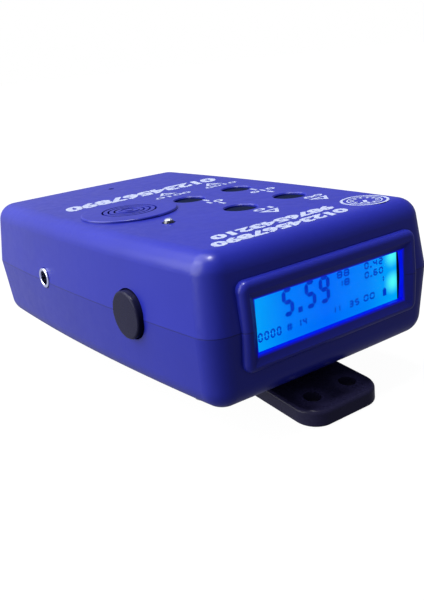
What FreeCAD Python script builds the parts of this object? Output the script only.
"""Handheld electronic shot timer with a belt clip, built as one FreeCAD document.

Frame: millimetres. X is the width of the case, Y its length with the display at
the -Y end, Z is up. The origin is under the middle of the case, on the plane that
the blade of the clip arm rests on. Most bodies are drawn about the parting plane
of the case and are lifted to it by their own Placement; the clip is drawn from
the rest plane.
"""

import FreeCAD, Part
import math
import os
import re

import Sketcher
from FreeCAD import Placement, Rotation, Vector

SIZES = {
    # case
    "parting_height": 26.6,
    "case_width": 70.0,
    "front_reach": 54.93,
    "rear_reach": 54.93,
    "top_height": 16.4,
    "bottom_depth": 17.0,
    "side_bow": 2.03,
    "front_bow": 0.37,
    "rear_bow": 0.85,
    "draft_top": 6.2,
    "draft_bottom": 4.7,
    "plan_corner": 5.45,
    "top_round": 4.8,
    "bottom_round": 5.35,
    "wall": 2.2,
    # display frame on the front face
    "bezel_rim": 56.2,
    "bezel_lean": 3.0,
    "bezel_half_width": 25.7,
    "bezel_top": 10.3,
    "bezel_bottom": 9.2,
    "bezel_depth": 3.6,
    "bezel_corner": 2.2,
    "bezel_edge": 1.4,
    "bevel_half_width": 23.8,
    "bevel_half_height": 7.8,
    "bevel_depth": 1.2,
    "bevel_angle": 57.0,
    "opening_half_width": 21.8,
    "opening_flare": 0.3,
    "opening_half_height": 6.0,
    "rebate_front": 53.6,
    "rebate_half_width": 23.4,
    "rebate_half_height": 7.3,
    # display stack
    "pane_thickness": 1.0,
    "pane_gap": 0.1,
    "glass_front": 51.7,
    "glass_thickness": 1.6,
    "holder_front": 50.0,
    "holder_depth": 3.5,
    "holder_half_width": 26.0,
    "holder_half_height": 9.2,
    "light_depth": 2.2,
    # boards
    "board_top": -1.6,
    "board_thickness": 1.6,
    "board_half_width": 28.6,
    "board_front": 37.6,
    "board_rear": 20.8,
    "keypad_top": 10.4,
    "board_screw_x": 25.6,
    "board_screw_front": 34.4,
    "board_screw_rear": 7.6,
    "post_radius": 2.5,
    "pilot_radius": 0.8,
    # keys
    "key_left_x": 2.0,
    "key_right_x": 17.9,
    "key_front_y": -22.2,
    "key_rear_y": -0.5,
    "key_radius": 3.9,
    "key_hole_radius": 4.12,
    "key_hole_edge": 0.3,
    "key_flange_radius": 5.0,
    "key_flange_low": 12.6,
    "key_flange_high": 13.7,
    "key_face": 15.85,
    "key_travel": 0.5,
    "switch_height": 1.4,
    "switch_side": 6.0,
    "plunger_radius": 1.6,
    # start button on the left side
    "start_y": -26.3,
    "start_z": 0.15,
    "start_radius": 5.5,
    "start_hole_radius": 5.85,
    "start_face": 35.5,
    "start_flange_radius": 6.55,
    "start_flange_outer": 31.0,
    "start_flange_inner": 30.2,
    "start_travel": 0.9,
    "start_switch_face": 28.2,
    # speaker
    "speaker_x": -16.2,
    "speaker_y": 0.0,
    "speaker_disc_radius": 12.2,
    "speaker_disc_rise": 0.6,
    "speaker_disc_edge": 0.42,
    "slot_inner": 3.8,
    "slot_pitch": 1.5,
    "slot_width": 0.5,
    "speaker_radius": 10.5,
    # light, microphone, jack
    "led_x": -17.4,
    "led_y": -19.8,
    "led_radius": 1.3,
    "led_hole_radius": 1.6,
    "led_rise": 1.0,
    "mic_x": 0.3,
    "mic_y": 38.6,
    "mic_hole_radius": 0.9,
    "mic_radius": 3.0,
    "jack_y": 16.3,
    "jack_z": 1.0,
    "ferrule_radius": 2.65,
    "ferrule_face": 35.1,
    "jack_bore_radius": 1.8,
    "jack_length": 14.0,
    # case screws
    "case_screw_x": 27.8,
    "case_screw_front": -42.4,
    "case_screw_rear": 44.0,
    "screw_boss_radius": 2.5,
    # battery
    "battery_left": -21.9,
    "battery_right": 24.3,
    "battery_front": 24.0,
    "battery_rear": 50.2,
    "battery_low": -13.0,
    "battery_high": 4.5,
    "terminal_y": 37.1,
    "terminal_pitch": 12.7,
    # battery door
    "door_half_width": 23.8,
    "rail_half_width": 25.0,
    "door_front": 23.6,
    "door_high": -6.4,
    "rail_low": -14.45,
    "rail_high": -13.35,
    "door_step": 49.4,
    "grip_pitch": 2.2,
    "slide_gap": 0.35,
    # belt clip, heights from the rest plane
    "clip_half_width": 11.25,
    "clip_front": -57.8,
    "clip_jaw": 17.0,
    "clip_corner": 5.25,
    "clip_upper_edge": 1.0,
    "clip_lower_edge": 0.6,
    "tab_thickness": 3.9,
    "tab_slope": 0.128,
    "hump_front": -36.0,
    "hump_rear": -29.5,
    "blade_front": -23.0,
    "blade_thickness": 3.2,
    "bend_radius": 4.0,
    "jaw_half_width": 9.0,
    "jaw_front": 12.0,
    "jaw_rear": 16.0,
    "jaw_top": 9.25,
    "tab_hole_x": 5.5,
    "tab_hole_y": -51.7,
    "tab_hole_radius": 2.0,
    "pin_y": -32.5,
    "pin_z": 4.7,
    "pin_radius": 0.8,
    "pin_half_length": 13.5,
    "lug_radius": 1.9,
    "lug_inner": 11.65,
    "base_half_width": 13.6,
    "base_plate_low": 8.2,
    "base_front": -40.8,
    "base_rear": -20.0,
    "clip_screw_x": 5.4,
    "clip_screw_y": -24.4,
    "spring_slot_x": 3.4,
    "spring_slot_y": 2.2,
    "coil_half_length": 2.4,
    "coil_radius": 1.3,
    "coil_pitch": 0.8,
    "wire_radius": 0.3,
}

doc = FreeCAD.newDocument("shot_timer")
dims = doc.addObject("Spreadsheet::Sheet", "Dims")


def fill_sheet():
    """Writes every driving dimension into the spreadsheet as a named cell."""
    for row, (name, value) in enumerate(SIZES.items(), start=1):
        dims.set("A%d" % row, name)
        dims.set("B%d" % row, str(value))
        dims.setAlias("B%d" % row, name)
    doc.recompute()


def linked(text):
    """Turns dimension names in a formula into references to the spreadsheet."""
    return re.sub(r"[a-z]+(?:_[a-z]+)+|\bwall\b", lambda m: "Dims." + m.group(0), str(text))


def size(name):
    return SIZES[name]


def new_body(label, lifted=True):
    body = doc.addObject("PartDesign::Body", label)
    body.Label = label
    body.AllowCompound = True
    if lifted:
        body.setExpression("Placement.Base.z", linked("parting_height * 1mm"))
    return body


def new_sketch(body, role, offset="0", tilt=None):
    """Adds a sketch on one of the body's own planes, moved along its normal."""
    sketch = body.newObject("Sketcher::SketchObject", body.Label + "_sketch")
    plane = next(f for f in body.Origin.OriginFeatures if f.Role == role)
    sketch.AttachmentSupport = (plane, [""])
    sketch.MapMode = "FlatFace"
    if tilt:
        turn = Rotation(Vector(1, 0, 0), tilt)
        sketch.AttachmentOffset = Placement(Vector(0, 0, 0), turn)
    sketch.setExpression("AttachmentOffset.Base.z", linked("(%s) * 1mm" % offset))
    return sketch


def bind(sketch, constraint, formula):
    index = sketch.addConstraint(constraint)
    sketch.setExpression("Constraints[%d]" % index, linked("(%s) * 1mm" % formula))


def fix_point(sketch, geometry, position, x, y):
    """Ties a point to formulas; the datum starts where the point already is."""
    here = sketch.getPoint(geometry, position)
    bind(sketch, Sketcher.Constraint("DistanceX", -1, 1, geometry, position, here.x), x)
    bind(sketch, Sketcher.Constraint("DistanceY", -1, 1, geometry, position, here.y), y)


def add_polygon(sketch, corners):
    """Closed polygon whose corners are pairs of formulas."""
    first = sketch.GeometryCount
    count = len(corners)
    seeds = [Vector(1, 0, 0), Vector(0, 1, 0), Vector(-1, 0, 0), Vector(0, -1, 0)]
    for i in range(count):
        line = Part.LineSegment(seeds[i % 4] * (i + 1), seeds[(i + 1) % 4] * (i + 2))
        sketch.addGeometry(line, False)
    for i in range(count):
        following = first + (i + 1) % count
        sketch.addConstraint(Sketcher.Constraint("Coincident", first + i, 2, following, 1))
    for i, (x, y) in enumerate(corners):
        fix_point(sketch, first + i, 1, x, y)


def add_rectangle(sketch, left, right, low, high):
    add_polygon(sketch, [(left, low), (right, low), (right, high), (left, high)])


def add_circle(sketch, x, y, radius):
    geometry = sketch.addGeometry(Part.Circle(Vector(1, 1, 0), Vector(0, 0, 1), 1.0), False)
    fix_point(sketch, geometry, 3, x, y)
    bind(sketch, Sketcher.Constraint("Radius", geometry, 1.0), radius)


def extrude(body, sketch, length, cut=False, backwards=False, taper=None):
    """Pads or pockets a sketch along its normal, or against it when backwards."""
    kind = "PartDesign::Pocket" if cut else "PartDesign::Pad"
    feature = body.newObject(kind, body.Label + ("_cut" if cut else "_pad"))
    feature.Profile = sketch
    feature.setExpression("Length", linked("(%s) * 1mm" % length))
    feature.Reversed = backwards if not cut else not backwards
    if taper:
        feature.setExpression("TaperAngle", linked("(%s) * 1deg" % taper))
    sketch.Visibility = False
    return feature


def block(body, x0, x1, y0, y1, z0, z1, cut=False):
    sketch = new_sketch(body, "XY_Plane", z0)
    add_rectangle(sketch, x0, x1, y0, y1)
    return extrude(body, sketch, "(%s) - (%s)" % (z1, z0), cut)


def discs(body, centres, radius, z0, z1, cut=False, inner=None):
    """Upright cylinders, or rings when an inner radius is given."""
    sketch = new_sketch(body, "XY_Plane", z0)
    for x, y in centres:
        add_circle(sketch, x, y, radius)
        if inner:
            add_circle(sketch, x, y, inner)
    return extrude(body, sketch, "(%s) - (%s)" % (z1, z0), cut)


def side_disc(body, y, z, radius, x0, x1, cut=False, inner=None):
    """Cylinder or ring along X between two X positions."""
    sketch = new_sketch(body, "YZ_Plane", x0)
    add_circle(sketch, y, z, radius)
    if inner:
        add_circle(sketch, y, z, inner)
    return extrude(body, sketch, "(%s) - (%s)" % (x1, x0), cut)


def front_block(body, x0, x1, z0, z1, front, rear, cut=False):
    """Block drawn on a plane facing -Y; front and rear are distances toward -Y."""
    sketch = new_sketch(body, "XZ_Plane", rear)
    add_rectangle(sketch, x0, x1, z0, z1)
    return extrude(body, sketch, "(%s) - (%s)" % (front, rear), cut)


def round_edges(body, radius, wanted, kind="Fillet"):
    """Fillets or chamfers the edges of the body's tip that a test picks."""
    doc.recompute()
    base = body.Tip
    names = []
    for i, edge in enumerate(base.Shape.Edges, start=1):
        if wanted(edge):
            names.append("Edge%d" % i)
    feature = body.newObject("PartDesign::" + kind, body.Label + "_" + kind.lower())
    feature.Base = (base, names)
    name = "Radius" if kind == "Fillet" else "Size"
    feature.setExpression(name, linked("(%s) * 1mm" % radius))
    doc.recompute()
    return feature


def level(edge, z, slack=0.06):
    """True when the whole edge lies at height z."""
    ends = [edge.valueAt(edge.FirstParameter), edge.valueAt(edge.LastParameter)]
    ends.append(edge.valueAt((edge.FirstParameter + edge.LastParameter) / 2))
    return all(abs(p.z - z) < slack for p in ends)


def spans_z(edge, least):
    ends = [edge.valueAt(edge.FirstParameter), edge.valueAt(edge.LastParameter)]
    return abs(ends[0].z - ends[1].z) > least


def middle(edge):
    return edge.valueAt((edge.FirstParameter + edge.LastParameter) / 2)


# ---------------------------------------------------------------- case halves


def add_bowed_outline(sketch, inset):
    """Rounded-square outline of four shallow arcs, drawn inside the case outline."""
    shift = size("wall") if inset else 0.0
    gap = " - wall" if inset else ""
    half = size("case_width") / 2 - shift
    front = size("front_reach") - shift
    rear = size("rear_reach") - shift
    side = half - size("side_bow")
    low = -(front - size("front_bow"))
    high = rear - size("rear_bow")
    corners = [(side, low), (side, high), (-side, high), (-side, low)]
    bulges = [(half, 0), (0, rear), (-half, 0), (0, -front)]
    for i in range(4):
        a = Vector(*corners[i], 0)
        b = Vector(*corners[(i + 1) % 4], 0)
        sketch.addGeometry(Part.Arc(a, Vector(*bulges[i], 0), b), False)
    for i in range(4):
        sketch.addConstraint(Sketcher.Constraint("Coincident", i, 2, (i + 1) % 4, 1))
    side_text = "(case_width / 2 - side_bow%s)" % gap
    low_text = "(front_reach - front_bow%s)" % gap
    high_text = "(rear_reach - rear_bow%s)" % gap
    fix_point(sketch, 0, 1, side_text, "-" + low_text)
    fix_point(sketch, 1, 1, side_text, high_text)
    fix_point(sketch, 2, 1, "-" + side_text, high_text)
    fix_point(sketch, 3, 1, "-" + side_text, "-" + low_text)
    length = "((%s + %s) / 2)" % (low_text, high_text)
    chords = [(length, "side_bow"), (side_text, "rear_bow")]
    chords += [(length, "side_bow"), (side_text, "front_bow")]
    for i, (chord, bow) in enumerate(chords):
        radius = sketch.Geometry[i].Radius
        formula = "(%s ^ 2 + %s ^ 2) / (2 * %s)" % (chord, bow, bow)
        bind(sketch, Sketcher.Constraint("Radius", i, radius), formula)


def outer_half(body, upper):
    """Drafted and rounded solid half of the case, open face on the parting plane."""
    sketch = new_sketch(body, "XY_Plane")
    add_bowed_outline(sketch, False)
    height = "top_height" if upper else "bottom_depth"
    draft = "-draft_top" if upper else "-draft_bottom"
    edge_round = "top_round" if upper else "bottom_round"
    extrude(body, sketch, height, backwards=not upper, taper=draft)
    round_edges(body, "plan_corner", lambda e: spans_z(e, 5))
    end = size(height) if upper else -size(height)
    round_edges(body, edge_round, lambda e: level(e, end))


def hollow_half(body, upper):
    """Cuts the cavity, leaving an even wall."""
    sketch = new_sketch(body, "XY_Plane")
    add_bowed_outline(sketch, True)
    height = "top_height" if upper else "bottom_depth"
    draft = "-draft_top" if upper else "-draft_bottom"
    edge_round = "top_round" if upper else "bottom_round"
    extrude(body, sketch, height + " - wall", cut=True, backwards=not upper, taper=draft)
    inner = size("case_width") / 2 - size("wall")

    def cavity_corner(edge):
        point = middle(edge)
        reach = max(abs(point.y) - size("front_reach") + size("wall"), abs(point.x) - inner)
        return spans_z(edge, 5) and reach < 0.2 and abs(point.x) > 25 and abs(point.y) > 40

    round_edges(body, "plan_corner - wall", cavity_corner)
    end = (size(height) - size("wall")) * (1 if upper else -1)
    round_edges(body, edge_round + " - wall", lambda e: level(e, end))


def display_frame(body, upper):
    """Raised frame around the display, leaning with the draft of this half."""
    lean = -size("bezel_lean") if upper else size("bezel_lean")
    low = "-4" if upper else "-bezel_bottom"
    high = "bezel_top" if upper else "4"
    sketch = new_sketch(body, "XZ_Plane", "bezel_rim", tilt=lean)
    add_rectangle(sketch, "-bezel_half_width", "bezel_half_width", low, high)
    extrude(body, sketch, "bezel_depth", backwards=True)
    outer = size("bezel_half_width")
    slope = math.tan(math.radians(abs(lean)))

    def frame_corner(edge):
        a = edge.valueAt(edge.FirstParameter)
        b = edge.valueAt(edge.LastParameter)
        at_side = abs(abs(a.x) - outer) < 0.05 and abs(a.x - b.x) < 0.05
        return at_side and abs(a.z) > 8 and abs(b.z) > 8 and min(a.y, b.y) < -54.3

    def front_loop(edge):
        point = middle(edge)
        plane = -size("bezel_rim") + abs(point.z) * slope
        cut_side = point.z < -3 if upper else point.z > 3
        return abs(point.y - plane) < 0.12 and not cut_side

    round_edges(body, "bezel_corner", frame_corner)
    round_edges(body, "bezel_edge", front_loop)
    bevel = new_sketch(body, "XZ_Plane", "bezel_rim", tilt=lean)
    add_rectangle(bevel, "-bevel_half_width", "bevel_half_width",
                  "-bevel_half_height", "bevel_half_height")
    extrude(body, bevel, "bevel_depth", cut=True, backwards=True, taper="-bevel_angle")
    opening = new_sketch(body, "XZ_Plane", "bezel_rim + 1", tilt=lean)
    side = "opening_half_width"
    wide = "(opening_half_width + opening_flare)"
    high_edge = "opening_half_height"
    add_polygon(opening, [("-" + side, "-" + high_edge), (side, "-" + high_edge), (wide, "0"),
                          (side, high_edge), ("-" + side, high_edge), ("-" + wide, "0")])
    extrude(body, opening, "bezel_depth + 2", cut=True, backwards=True)
    front_block(body, "-rebate_half_width", "rebate_half_width", "-rebate_half_height",
                "rebate_half_height", "rebate_front", "50", cut=True)
    if upper:
        block(body, "-40", "40", "-60", "-48", "-12", "0", cut=True)
    else:
        block(body, "-40", "40", "-60", "-48", "0", "12", cut=True)


def screw_places():
    xs = ["-case_screw_x", "case_screw_x"]
    ys = ["case_screw_front", "case_screw_rear"]
    return [(x, y) for x in xs for y in ys]


def board_places():
    xs = ["-board_screw_x", "board_screw_x"]
    ys = ["-board_screw_front", "board_screw_rear"]
    return [(x, y) for x in xs for y in ys]


KEYPAD_PLACES = [("9.95", "key_front_y"), ("9.95", "key_rear_y"), ("-9.5", "-20.8")]
CLIP_PLACES = [("-clip_screw_x", "clip_screw_y"), ("clip_screw_x", "clip_screw_y")]
KEYS = {
    "front_left": ("key_left_x", "key_front_y"),
    "front_right": ("key_right_x", "key_front_y"),
    "rear_left": ("key_left_x", "key_rear_y"),
    "rear_right": ("key_right_x", "key_rear_y"),
}


def side_openings(body):
    """Holes for the start button and the jack, shared by both halves."""
    side_disc(body, "start_y", "start_z", "start_hole_radius", "-40", "-29", cut=True)
    side_disc(body, "jack_y", "jack_z", "ferrule_radius + 0.12", "-40", "-29", cut=True)


def speaker_grille(body):
    """Raised disc with ring slots held together by two bars underneath."""
    here = [("speaker_x", "speaker_y")]
    top = size("top_height") + size("speaker_disc_rise")
    discs(body, here, "speaker_disc_radius", "top_height - 0.5", "top_height + speaker_disc_rise")
    round_edges(body, "speaker_disc_edge", lambda e: level(e, top, 0.01) and e.Length > 60)
    reach = "(slot_inner + 2 * slot_pitch + 0.9)"
    low = "top_height - wall - 1"
    high = "top_height - wall + 0.1"
    for along, across in ((reach, "0.6"), ("0.6", reach)):
        block(body, "speaker_x - %s" % along, "speaker_x + %s" % along,
              "speaker_y - %s" % across, "speaker_y + %s" % across, low, high)
    for i in range(3):
        middle_radius = "slot_inner + %d * slot_pitch" % i
        discs(body, here, middle_radius + " + slot_width / 2", "top_height - wall", "top_height + 1",
              cut=True, inner=middle_radius + " - slot_width / 2")


def top_holes(body, centres, radius):
    """Round holes through the top wall."""
    discs(body, centres, radius, "top_height - wall - 1", "top_height + 1", cut=True)


def make_upper_case():
    body = new_body("upper_case")
    outer_half(body, True)
    hollow_half(body, True)
    display_frame(body, True)
    discs(body, screw_places(), "screw_boss_radius", "0", "top_height - wall + 0.2")
    discs(body, screw_places(), "1.1", "-1", "7", cut=True)
    discs(body, KEYPAD_PLACES, "2.2", "keypad_top", "top_height - wall + 0.2")
    discs(body, KEYPAD_PLACES, "pilot_radius", "keypad_top - 1", "13", cut=True)
    side_openings(body)
    speaker_grille(body)
    top_holes(body, KEYS.values(), "key_hole_radius")
    top = size("top_height")
    around = 2 * math.pi * size("key_hole_radius")

    def key_rim(edge):
        return level(edge, top, 0.01) and abs(edge.Length - around) < 0.05

    round_edges(body, "key_hole_edge", key_rim, "Chamfer")
    top_holes(body, [("led_x", "led_y")], "led_hole_radius")
    top_holes(body, [("mic_x", "mic_y")], "mic_hole_radius")


def make_lower_case():
    body = new_body("lower_case")
    outer_half(body, False)
    hollow_half(body, False)
    display_frame(body, False)
    floor = "-bottom_depth + wall - 0.2"
    discs(body, screw_places(), "screw_boss_radius", floor, "0")
    discs(body, screw_places(), "1.25", "-bottom_depth - 1", "1", cut=True)
    discs(body, screw_places(), "2.3", "-bottom_depth - 1", "-bottom_depth + 1.7", cut=True)
    discs(body, board_places(), "post_radius", floor, "board_top - board_thickness")
    discs(body, board_places(), "pilot_radius", "-10", "0", cut=True)
    discs(body, CLIP_PLACES, "2.4", floor, "-10.4")
    discs(body, CLIP_PLACES, "1.05", "-bottom_depth - 1", "-10.9", cut=True)
    side_openings(body)
    block(body, "-24", "24", "22", "23.2", floor, "-0.3")
    door_opening(body)


def door_opening(body):
    """Opening in the bottom and rear walls that the battery door slides into."""
    narrow = "(door_half_width + slide_gap)"
    wide = "(rail_half_width + slide_gap)"
    block(body, "-" + narrow, narrow, "door_front - slide_gap", "60",
          "-20", "-bottom_depth + wall + 0.2", cut=True)
    block(body, "-" + wide, wide, "door_step", "60", "-20", "door_high + slide_gap", cut=True)
    block(body, "-" + wide, wide, "door_step - 2.5", "60",
          "-bottom_depth + wall", "rail_high + slide_gap", cut=True)


def make_battery_door():
    """Sliding cover that continues the bottom and rear walls of the case."""
    body = new_body("battery_door")
    outer_half(body, False)
    hollow_half(body, False)
    block(body, "-40", "40", "-60", "60", "door_high", "1", cut=True)
    block(body, "-40", "40", "-60", "door_front", "-20", "1", cut=True)
    for left, right in (("-40", "-rail_half_width"), ("rail_half_width", "40")):
        block(body, left, right, "20", "60", "-20", "1", cut=True)
    for left, right in (("-26", "-door_half_width"), ("door_half_width", "26")):
        block(body, left, right, "20", "door_step + slide_gap", "-20", "1", cut=True)
    web = ("22.4", "door_half_width", "-bottom_depth + wall - 0.1")
    rail = ("23.6", "rail_half_width", "rail_low")
    for near, far, low in (web, rail):
        for left, right in ((near, far), ("-" + far, "-" + near)):
            block(body, left, right, "door_front + 0.3", "50.6", low, "rail_high")
    for i in range(5):
        start = "28 + grip_pitch * %d" % i
        block(body, "-8", "8", start, start + " + 1", "-bottom_depth", "-bottom_depth + 0.4", cut=True)


# ---------------------------------------------------------------- display


def make_display():
    pane = new_body("display_window")
    reach = "rebate_half_width - 0.15"
    height = "rebate_half_height - 0.15"
    front_block(pane, "-(%s)" % reach, reach, "-(%s)" % height, height,
                "rebate_front - pane_gap", "rebate_front - pane_gap - pane_thickness")
    glass = new_body("lcd_glass")
    front_block(glass, "-(%s)" % reach, reach, "-(%s)" % height, height,
                "glass_front", "glass_front - glass_thickness")
    holder = new_body("lcd_holder")
    front_block(holder, "-holder_half_width", "holder_half_width", "-holder_half_height",
                "holder_half_height", "holder_front", "holder_front - holder_depth")
    front_block(holder, "-23", "23", "-7", "7", "holder_front + 1",
                "holder_front - light_depth - 0.1", cut=True)
    light = new_body("backlight")
    front_block(light, "-22.8", "22.8", "-6.8", "6.8", "holder_front", "holder_front - light_depth")


# ---------------------------------------------------------------- boards


def make_boards():
    board = new_body("main_board")
    block(board, "-board_half_width", "board_half_width", "-board_front", "board_rear",
          "board_top - board_thickness", "board_top")
    discs(board, board_places(), "1.0", "-5", "0", cut=True)
    keypad = new_body("keypad_board")
    sketch = new_sketch(keypad, "XY_Plane", "keypad_top - board_thickness")
    add_polygon(sketch, [("-21", "-28"), ("24.2", "-28"), ("24.2", "6.6"),
                         ("-3.2", "6.6"), ("-3.2", "-13.6"), ("-21", "-13.6")])
    extrude(keypad, sketch, "board_thickness")
    discs(keypad, KEYPAD_PLACES, "1.0", "5", "12", cut=True)
    chip = new_body("processor_chip")
    block(chip, "-8", "4", "-20", "-8", "board_top", "board_top + 1.4")
    amplifier = new_body("amplifier_chip")
    block(amplifier, "-20", "-15", "2", "6", "board_top", "board_top + 1.3")
    crystal = new_body("crystal_can")
    block(crystal, "8", "18", "-15", "-11.2", "board_top", "board_top + 3.4")
    round_edges(crystal, "1.8", lambda e: spans_z(e, 2))
    capacitor = new_body("capacitor")
    discs(capacitor, [("14", "8")], "3", "board_top", "board_top + 6.5")
    ribbon = new_body("display_ribbon")
    block(ribbon, "-14", "14", "-holder_front + holder_depth", "-35", "board_top", "board_top + 0.3")
    link = new_body("keypad_ribbon")
    block(link, "11", "22", "4.2", "4.5", "board_top", "keypad_top - board_thickness")


# ---------------------------------------------------------------- keys


def make_key(name, x, y):
    key = new_body(name + "_key")
    discs(key, [(x, y)], "key_flange_radius", "key_flange_low", "key_flange_high")
    discs(key, [(x, y)], "key_radius", "key_flange_low", "key_face")
    face = size("key_face")
    round_edges(key, "0.4", lambda e: level(e, face, 0.01))
    plunger = new_body(name + "_plunger")
    discs(plunger, [(x, y)], "plunger_radius", "key_flange_low - 1.4", "key_flange_low")
    switch = new_body(name + "_switch")
    half = "switch_side / 2"
    block(switch, "%s - %s" % (x, half), "%s + %s" % (x, half),
          "%s - %s" % (y, half), "%s + %s" % (y, half), "keypad_top", "keypad_top + switch_height")
    discs(switch, [(x, y)], "plunger_radius + 0.1", "keypad_top - 1", "keypad_top + 3", cut=True)


def make_start_button():
    button = new_body("start_button")
    side_disc(button, "start_y", "start_z", "start_flange_radius",
              "-start_flange_outer", "-start_flange_inner")
    side_disc(button, "start_y", "start_z", "start_radius", "-start_face", "-start_flange_inner")
    face = -size("start_face")
    round_edges(button, "0.5", lambda e: abs(middle(e).x - face) < 0.01)
    plunger = new_body("start_plunger")
    side_disc(plunger, "start_y", "start_z", "1.5", "-start_flange_inner", "-27.4")
    switch = new_body("start_switch")
    block(switch, "-start_switch_face", "-24.6", "start_y - 3", "start_y + 3",
          "board_top", "start_z + 1.95")
    side_disc(switch, "start_y", "start_z", "1.6", "-30", "-26", cut=True)


# ---------------------------------------------------------------- sound, light, jack


def turned(body, x, y, profile):
    """Solid of revolution about an upright line; the profile is (radius, height) pairs."""
    sketch = new_sketch(body, "XZ_Plane", "-(%s)" % y)
    sketch.setExpression("AttachmentOffset.Base.x", linked("(%s) * 1mm" % x))
    add_polygon(sketch, profile)
    feature = body.newObject("PartDesign::Revolution", body.Label + "_turned")
    feature.Profile = sketch
    feature.ReferenceAxis = (sketch, ["V_Axis"])
    feature.Angle = 360


def make_speaker():
    here = [("speaker_x", "speaker_y")]
    gasket = new_body("speaker_gasket")
    discs(gasket, here, "speaker_radius", "13.2", "top_height - wall", inner="8.9")
    basket = new_body("speaker_basket")
    turned(basket, "speaker_x", "speaker_y", [("4", "9.4"), ("8.5", "9.4"), ("speaker_radius", "11.8"),
                                              ("speaker_radius", "13.2"), ("9.6", "13.2"), ("9.6", "12"),
                                              ("8.2", "10.2"), ("4", "10.2")])
    cone = new_body("speaker_cone")
    turned(cone, "speaker_x", "speaker_y", [("0.01", "10.3"), ("3.2", "10.3"), ("9.5", "12.7"),
                                            ("9.5", "13.1"), ("3", "10.8"), ("0.01", "11.6")])
    magnet = new_body("speaker_magnet")
    turned(magnet, "speaker_x", "speaker_y", [("0.01", "6.6"), ("6.5", "6.6"), ("6.5", "9.4"),
                                              ("3.9", "9.4"), ("3.9", "10.2"), ("0.01", "10.2")])


def make_light_and_microphone():
    led = new_body("status_led")
    discs(led, [("led_x", "led_y")], "led_radius + 0.35", "keypad_top", "keypad_top + 1")
    discs(led, [("led_x", "led_y")], "led_radius", "keypad_top", "top_height + led_rise")
    top = size("top_height") + size("led_rise")
    round_edges(led, "led_radius - 0.05", lambda e: level(e, top, 0.01))
    microphone = new_body("microphone")
    discs(microphone, [("mic_x", "mic_y")], "mic_radius", "10.6", "13.6")
    grommet = new_body("mic_grommet")
    discs(grommet, [("mic_x", "mic_y")], "mic_radius + 1.2", "11", "top_height - wall",
          inner="mic_radius + 0.02")


def make_jack():
    socket = new_body("jack_body")
    block(socket, "-32.1", "-20", "jack_y - 3", "jack_y + 3", "board_top", "jack_z + 2.9")
    side_disc(socket, "jack_y", "jack_z", "jack_bore_radius", "-33", "-21", cut=True)
    ferrule = new_body("jack_ferrule")
    side_disc(ferrule, "jack_y", "jack_z", "ferrule_radius", "-ferrule_face", "-32.1",
              inner="jack_bore_radius")
    face = -size("ferrule_face")
    round_edges(ferrule, "0.25", lambda e: abs(middle(e).x - face) < 0.01)


# ---------------------------------------------------------------- battery


def make_battery():
    battery = new_body("battery")
    block(battery, "battery_left", "battery_right", "battery_front", "battery_rear",
          "battery_low", "battery_high")
    left = size("battery_left") + 0.5
    right = size("battery_right") - 0.5
    round_edges(battery, "1.6", lambda e: left < middle(e).x < right)
    centre = "((battery_low + battery_high) / 2)"
    first = "(terminal_y - terminal_pitch / 2)"
    second = "(terminal_y + terminal_pitch / 2)"
    terminals = new_body("battery_terminals")
    side_disc(terminals, first, centre, "2.8", "battery_left - 2.4", "battery_left")
    side_disc(terminals, second, centre, "3.4", "battery_left - 2.4", "battery_left")
    snap = new_body("battery_snap")
    block(snap, "-24.9", "battery_left - 0.1", "terminal_y - 12", "terminal_y + 12", "-12.2", "3.6")
    side_disc(snap, first, centre, "2.9", "-24.4", "-20", cut=True)
    side_disc(snap, second, centre, "3.5", "-24.4", "-20", cut=True)
    for name, x in (("red_lead", "-22.7"), ("black_lead", "-24.2")):
        make_lead(name, x)


def make_lead(name, x):
    """Wire that rises from the main board, arches over the partition and meets the snap."""
    body = new_body(name)
    bend = 4.6
    start = 20.1
    foot = size("board_top")
    profile = new_sketch(body, "XY_Plane", "board_top")
    add_circle(profile, x, "20.1", "0.5")
    path = new_sketch(body, "YZ_Plane", x)
    centre = Vector(start + bend, foot, 0)
    arc = Part.ArcOfCircle(Part.Circle(centre, Vector(0, 0, 1), bend), math.pi / 2, math.pi)
    path.addGeometry(arc, False)
    end = Vector(start + bend, foot + bend, 0)
    path.addGeometry(Part.LineSegment(end, end + Vector(0.4, 0, 0)), False)
    path.addConstraint(Sketcher.Constraint("Coincident", 0, 1, 1, 1))
    fix_point(path, 0, 3, "24.7", "board_top")
    fix_point(path, 0, 2, "20.1", "board_top")
    bind(path, Sketcher.Constraint("DistanceX", -1, 1, 0, 1, start + bend), "24.7")
    fix_point(path, 1, 2, "terminal_y - 12", "board_top + 4.6")
    pipe = body.newObject("PartDesign::AdditivePipe", name + "_pipe")
    pipe.Profile = profile
    pipe.Spine = (path, ["Edge1", "Edge2"])


# ---------------------------------------------------------------- belt clip


def clip_level(y, upper):
    """Height of the arm's lower or upper face at a place along its length."""
    rise = (size("hump_front") - size("clip_front")) * size("tab_slope")
    thick = size("tab_thickness") if upper else 0.0
    if y < size("hump_front"):
        return (y - size("clip_front")) * size("tab_slope") + thick
    if y < size("hump_rear"):
        return rise + thick
    if y > size("blade_front"):
        return size("blade_thickness") if upper else 0.0
    return None


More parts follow.
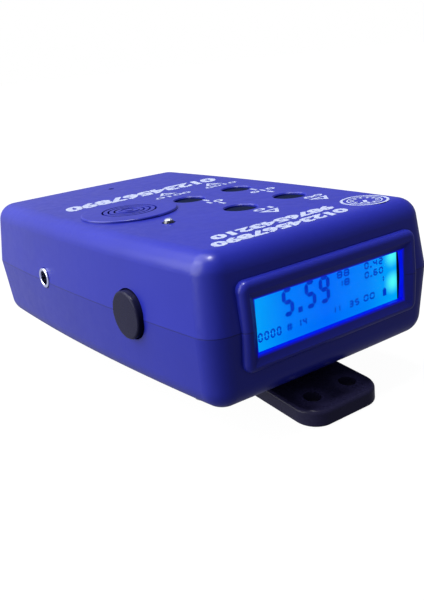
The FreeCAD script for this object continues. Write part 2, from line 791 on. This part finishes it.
def make_clip_arm():
    """Lever with a pitched thumb tab, a hump over the pin and a flat blade behind it."""
    arm = new_body("clip_arm", lifted=False)
    profile = new_sketch(arm, "YZ_Plane", "-clip_half_width")
    rise = "((hump_front - clip_front) * tab_slope)"
    add_polygon(profile, [
        ("clip_front", "0"), ("hump_front", rise), ("hump_rear", rise), ("blade_front", "0"),
        ("clip_jaw", "0"), ("clip_jaw", "blade_thickness"), ("blade_front + 1", "blade_thickness"),
        ("hump_rear + 1", rise + " + tab_thickness"), ("hump_front", rise + " + tab_thickness"),
        ("clip_front", "tab_thickness")])
    extrude(arm, profile, "2 * clip_half_width")
    front = size("clip_front") + 1
    rear = size("clip_jaw") - 1
    half = size("clip_half_width")

    def bend(edge):
        a = edge.valueAt(edge.FirstParameter)
        b = edge.valueAt(edge.LastParameter)
        return abs(a.x - b.x) > half and front < middle(edge).y < rear

    def rim(edge, upper):
        point = middle(edge)
        face = clip_level(point.y, upper)
        on_face = face is not None and abs(point.z - face) < 0.02
        return on_face and not bend(edge) and not spans_z(edge, 3.1)

    def corner(edge):
        point = middle(edge)
        at_side = abs(abs(point.x) - half) < 0.01
        return spans_z(edge, 3.1) and at_side and not front < point.y < rear

    round_edges(arm, "bend_radius", bend)
    round_edges(arm, "clip_corner", corner)
    round_edges(arm, "clip_upper_edge", lambda e: rim(e, True))
    round_edges(arm, "clip_lower_edge", lambda e: rim(e, False))
    block(arm, "-jaw_half_width", "jaw_half_width", "jaw_front", "jaw_rear",
          "blade_thickness - 0.5", "jaw_top")
    tip = size("jaw_top")
    round_edges(arm, "0.8", lambda e: level(e, tip, 0.01))
    block(arm, "-spring_slot_x", "spring_slot_x", "pin_y - spring_slot_y", "pin_y + spring_slot_y",
          "-1", "12", cut=True)
    leg = "(coil_half_length - wire_radius"
    block(arm, leg + " - 0.2)", leg + " + 0.8)", "pin_y", "pin_y + 5.6", "-1",
          "pin_z - coil_radius + wire_radius + 0.08", cut=True)
    side_disc(arm, "pin_y", "pin_z", "pin_radius + 0.08", "-14", "14", cut=True)
    holes = [("-tab_hole_x", "tab_hole_y"), ("tab_hole_x", "tab_hole_y")]
    discs(arm, holes, "tab_hole_radius", "-1", "12", cut=True)


def make_clip_base():
    """Plate under the case with two lugs that hold the pin outside the arm."""
    base = new_body("clip_base", lifted=False)
    block(base, "-base_half_width", "base_half_width", "base_front", "base_rear",
          "base_plate_low", "parting_height - bottom_depth")
    round_edges(base, "3", lambda e: spans_z(e, 1))
    for inner, outer in (("lug_inner", "base_half_width"), ("-base_half_width", "-lug_inner")):
        block(base, inner, outer, "pin_y - lug_radius", "pin_y + lug_radius",
              "pin_z", "base_plate_low + 0.2")
        side_disc(base, "pin_y", "pin_z", "lug_radius", inner, outer)
    side_disc(base, "pin_y", "pin_z", "pin_radius + 0.02", "-14", "14", cut=True)
    discs(base, CLIP_PLACES, "1.15", "base_plate_low - 1", "base_plate_low + 3", cut=True)


def make_clip_pin():
    pin = new_body("clip_pin", lifted=False)
    side_disc(pin, "pin_y", "pin_z", "pin_radius", "-pin_half_length", "pin_half_length")


def make_clip_spring():
    """Torsion spring wound around the pin, one leg on the base and one under the blade."""
    body = new_body("clip_spring", lifted=False)
    profile = new_sketch(body, "XZ_Plane", "-pin_y")
    profile.setExpression("AttachmentOffset.Base.y", linked("pin_z * 1mm"))
    add_circle(profile, "-coil_half_length", "coil_radius", "wire_radius")
    helix = body.newObject("PartDesign::AdditiveHelix", "spring_coil")
    helix.Profile = profile
    helix.ReferenceAxis = (profile, ["H_Axis"])
    helix.Mode = 0
    helix.setExpression("Pitch", linked("coil_pitch * 1mm"))
    helix.setExpression("Height", linked("2 * coil_half_length * 1mm"))
    near = "coil_half_length - wire_radius"
    far = "coil_half_length + wire_radius"
    block(body, near, far, "pin_y", "pin_y + 5.3", "pin_z - coil_radius - wire_radius",
          "pin_z - coil_radius + wire_radius")
    block(body, "-(%s)" % far, "-(%s)" % near, "pin_y - wire_radius", "pin_y + wire_radius",
          "pin_z + coil_radius - wire_radius", "base_plate_low - 0.05")


# ---------------------------------------------------------------- screws


def make_screws(label, places, head_radius, head, shank_radius, shank, lifted=True):
    """Set of equal screws; head and shank are pairs of low and high heights."""
    body = new_body(label, lifted)
    discs(body, places, head_radius, head[0], head[1])
    discs(body, places, shank_radius, shank[0], shank[1])


def make_all_screws():
    seat = "-bottom_depth + 0.2"
    make_screws("case_screws", screw_places(), "2.0", (seat, "-bottom_depth + 1.7"), "1.05", (seat, "6"))
    make_screws("board_screws", board_places(), "1.6", ("board_top", "board_top + 1.1"),
                "0.75", ("-9.5", "board_top + 1"))
    under = "keypad_top - board_thickness"
    make_screws("keypad_screws", KEYPAD_PLACES, "1.6", (under + " - 1.1", under),
                "0.75", (under + " - 1", "12.6"))
    make_screws("clip_screws", CLIP_PLACES, "1.9", ("base_plate_low - 1.2", "base_plate_low"),
                "1.0", ("base_plate_low - 1", "parting_height - 11.3"), lifted=False)


def check_and_export():
    doc.recompute()
    bodies = [o for o in doc.Objects if o.TypeId == "PartDesign::Body"]
    for item in doc.Objects:
        bad = [word for word in item.State if word in ("Invalid", "Error")]
        if bad:
            raise RuntimeError("%s is %s" % (item.Label, bad))
    os.makedirs("parts", exist_ok=True)
    for body in bodies:
        if body.Shape.isNull() or not body.Shape.isValid():
            raise RuntimeError(body.Label + " has no valid shape")
    for body in bodies:
        body.Shape.exportStep("parts/%s.step" % body.Label)
        print(body.Label, len(body.Shape.Solids), round(body.Shape.Volume, 1))


fill_sheet()
make_upper_case()
make_lower_case()
make_battery_door()
make_display()
make_boards()
for key_name, (key_x, key_y) in KEYS.items():
    make_key(key_name, key_x, key_y)
make_start_button()
make_speaker()
make_light_and_microphone()
make_jack()
make_battery()
make_clip_base()
make_clip_arm()
make_clip_pin()
make_clip_spring()
make_all_screws()
check_and_export()
